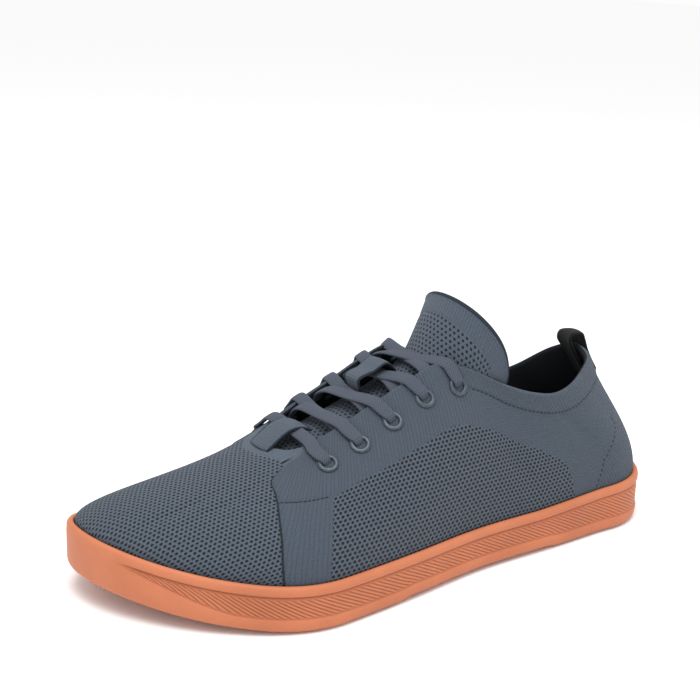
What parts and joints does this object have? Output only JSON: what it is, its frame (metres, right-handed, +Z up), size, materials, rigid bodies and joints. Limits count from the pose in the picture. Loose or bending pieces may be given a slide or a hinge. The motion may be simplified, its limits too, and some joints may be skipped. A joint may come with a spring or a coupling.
{
  "type": "barefoot shoe",
  "caption": "Low knit barefoot shoe for the left foot with a flat cupped gum rubber outsole, laced throat, high tongue and heel pull loop.",
  "frame": {"origin": "centre of the bounding box on the floor", "axes": "+X from heel to toe, +Y to the outer side of the foot, +Z up"},
  "size_m": [0.288, 0.1118, 0.1197],
  "materials": {
    "sole_rubber": "matte gum rubber",
    "insole_foam": "cloth-faced foam",
    "knit_upper": "perforated knit with a black lining",
    "webbing": "woven webbing",
    "eyelet_enamel": "satin enamel",
    "lace_cord": "flat braided lace"
  },
  "bodies": {
    "root": {"outsole": "sole_rubber", "insole": "insole_foam", "upper": "knit_upper", "tongue": "knit_upper", "tongue_keeper": "knit_upper", "vamp_tab": "knit_upper", "heel_pull_loop": "webbing", "eyelet_lateral_1": "eyelet_enamel", "eyelet_lateral_2": "eyelet_enamel", "eyelet_lateral_3": "eyelet_enamel", "eyelet_lateral_4": "eyelet_enamel", "eyelet_lateral_5": "eyelet_enamel", "eyelet_medial_1": "eyelet_enamel", "eyelet_medial_2": "eyelet_enamel", "eyelet_medial_3": "eyelet_enamel", "eyelet_medial_4": "eyelet_enamel", "eyelet_medial_5": "eyelet_enamel", "lace_bar_1": "lace_cord", "lace_crossing_1": "lace_cord", "lace_crossing_2": "lace_cord", "lace_crossing_3": "lace_cord", "lace_crossing_4": "lace_cord"}
  },
  "joints": []
}
